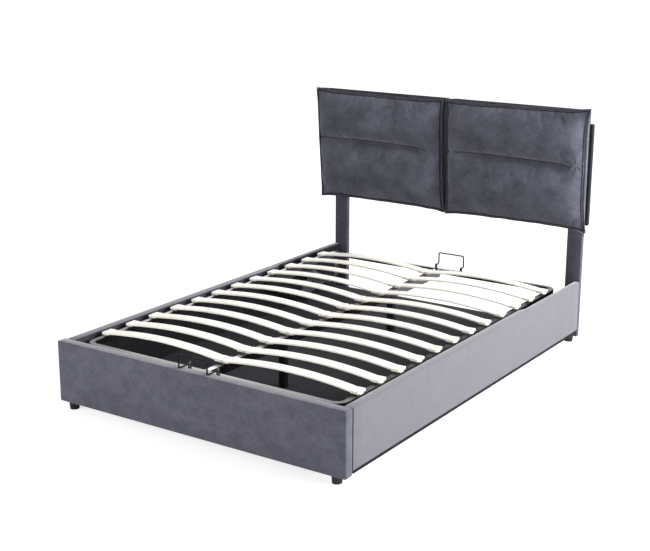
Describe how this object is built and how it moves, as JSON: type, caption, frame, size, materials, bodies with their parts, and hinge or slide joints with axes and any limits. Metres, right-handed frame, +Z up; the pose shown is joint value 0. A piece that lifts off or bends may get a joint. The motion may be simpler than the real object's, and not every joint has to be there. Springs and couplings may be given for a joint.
{
  "type": "ottoman storage bed",
  "caption": "Upholstered storage bed with a cushioned headboard on posts and a slatted platform that lifts on links and gas springs.",
  "frame": {"origin": "on the floor below the middle of the bed's outer box", "axes": "+Z up, +Y towards the headboard, +X to the right as seen from the foot of the bed"},
  "size_m": [1.556, 2.1579, 1.164],
  "materials": {
    "velvet": "soft velvet pile",
    "board": "raw chipboard",
    "floor_cloth": "matte cloth on board",
    "black_plastic": "matte",
    "gold_zinc": "yellow zinc plated",
    "zinc_steel": "zinc plated",
    "black_steel": "satin black",
    "bright_steel": "hard chromed",
    "slat_wood": "sealed pale birch",
    "white_plastic": "semi matte"
  },
  "bodies": {
    "frame": {"footboard_cover": "velvet", "side_rail_cover_left": "velvet", "side_rail_cover_right": "velvet", "headboard_post_left": "velvet", "headboard_post_right": "velvet", "headboard_panel": "velvet", "headboard_cushion_left": "velvet", "headboard_cushion_right": "velvet", "footboard_core": "board", "side_rail_core_left": "board", "side_rail_core_right": "board", "floor_battens": "board", "floor_beam": "board", "storage_floor_left": "floor_cloth", "storage_floor_right": "floor_cloth", "feet": "black_plastic", "post_glides": "black_plastic", "frame_bolts": "gold_zinc", "corner_brackets": "zinc_steel", "headboard_bolts": "zinc_steel", "lift_plate_screws": "zinc_steel", "lift_base_pins": "zinc_steel", "lift_base_plate_left": "black_steel", "lift_base_plate_right": "black_steel"},
    "platform": {"platform_tube_foot": "black_steel", "platform_tube_head": "black_steel", "platform_tube_left": "black_steel", "platform_tube_right": "black_steel", "platform_middle_rail": "black_steel", "support_legs": "black_steel", "slat_row_01": "slat_wood", "slat_row_02": "slat_wood", "slat_row_03": "slat_wood", "slat_row_04": "slat_wood", "slat_row_05": "slat_wood", "slat_row_06": "slat_wood", "slat_row_07": "slat_wood", "slat_row_08": "slat_wood", "slat_row_09": "slat_wood", "slat_row_10": "slat_wood", "slat_row_11": "slat_wood", "slat_row_12": "slat_wood", "slat_caps_side": "white_plastic", "slat_caps_middle": "white_plastic", "mattress_retainer_foot": "black_steel", "mattress_retainer_head": "black_steel", "retainer_clamps": "black_steel", "support_leg_feet": "black_plastic", "lift_arm_plate_left": "black_steel", "lift_arm_plate_right": "black_steel", "lift_arm_pins": "zinc_steel"},
    "front_links": {"front_link_left": "black_steel", "front_link_right": "black_steel"},
    "rear_links": {"rear_link_left": "black_steel", "rear_link_right": "black_steel", "rear_link_pins": "zinc_steel"},
    "spring_tubes": {"gas_spring_tube_left": "black_steel", "gas_spring_tube_right": "black_steel"},
    "spring_rods": {"gas_spring_rod_left": "bright_steel", "gas_spring_rod_right": "bright_steel"}
  },
  "joints": [
    {"name": "front_link_swing", "type": "hinge", "parent": "frame", "child": "front_links", "pos_m": [0, 0.787, 0.18496], "axis": [-1, 0, 0], "range_deg": [0, 29.53]},
    {"name": "platform_tilt", "type": "hinge", "parent": "front_links", "child": "platform", "pos_m": [0, 0.492, 0.24792], "axis": [-1, 0, 0], "range_deg": [0, 15.47]},
    {"name": "rear_link_swing", "type": "hinge", "parent": "frame", "child": "rear_links", "pos_m": [0, 0.898, 0.12496], "axis": [-1, 0, 0], "range_deg": [0, 13.61]},
    {"name": "spring_swing", "type": "hinge", "parent": "frame", "child": "spring_tubes", "pos_m": [0, 0.661, 0.07493], "axis": [-1, 0, 0], "range_deg": [0, 36.16]},
    {"name": "spring_extend", "type": "slide", "parent": "spring_tubes", "child": "spring_rods", "axis": [0, -0.9103, 0.414], "range_m": [0, 0.10555]}
  ],
  "couplings": [
    {"joint": "platform_tilt", "follows": "front_link_swing", "ratio": 0.52406},
    {"joint": "rear_link_swing", "follows": "front_link_swing", "ratio": 0.46085},
    {"joint": "spring_swing", "follows": "front_link_swing", "ratio": 1.2245},
    {"joint": "spring_extend", "follows": "front_link_swing", "m_per_rad": 0.20482}
  ]
}
